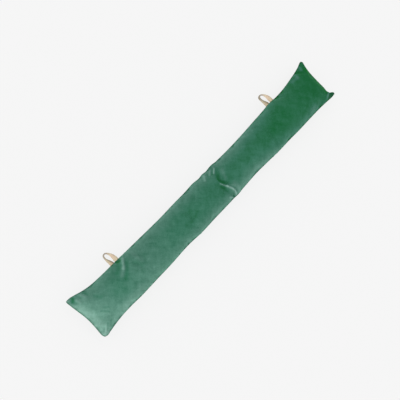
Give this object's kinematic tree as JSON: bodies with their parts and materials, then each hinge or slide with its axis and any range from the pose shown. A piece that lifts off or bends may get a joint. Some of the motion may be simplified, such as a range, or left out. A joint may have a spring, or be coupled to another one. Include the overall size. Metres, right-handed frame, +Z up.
{
  "type": "draught excluder",
  "caption": "Long slim velvet cushion filled with fibre that blocks the gap under a door, with hanging loops of cotton tape in one side seam.",
  "frame": {"origin": "on the flattened underside, half-way along the cushion, on the line between the middles of its two ends", "axes": "+X along the cushion, from the end with the rounder corners to the end with the small folded corner; +Y to the side seam with the tape loops; +Z up from the surface it lies on"},
  "size_m": [0.9891, 0.1614, 0.0731],
  "materials": {
    "velvet": "short-pile green cotton velvet with a soft, pale sheen where the pile is seen edge-on",
    "tape": "undyed cotton tape, plain woven"
  },
  "bodies": {
    "root": {"velvet_cushion": "velvet", "tape_loop_left": "tape", "tape_loop_right": "tape"}
  },
  "joints": []
}
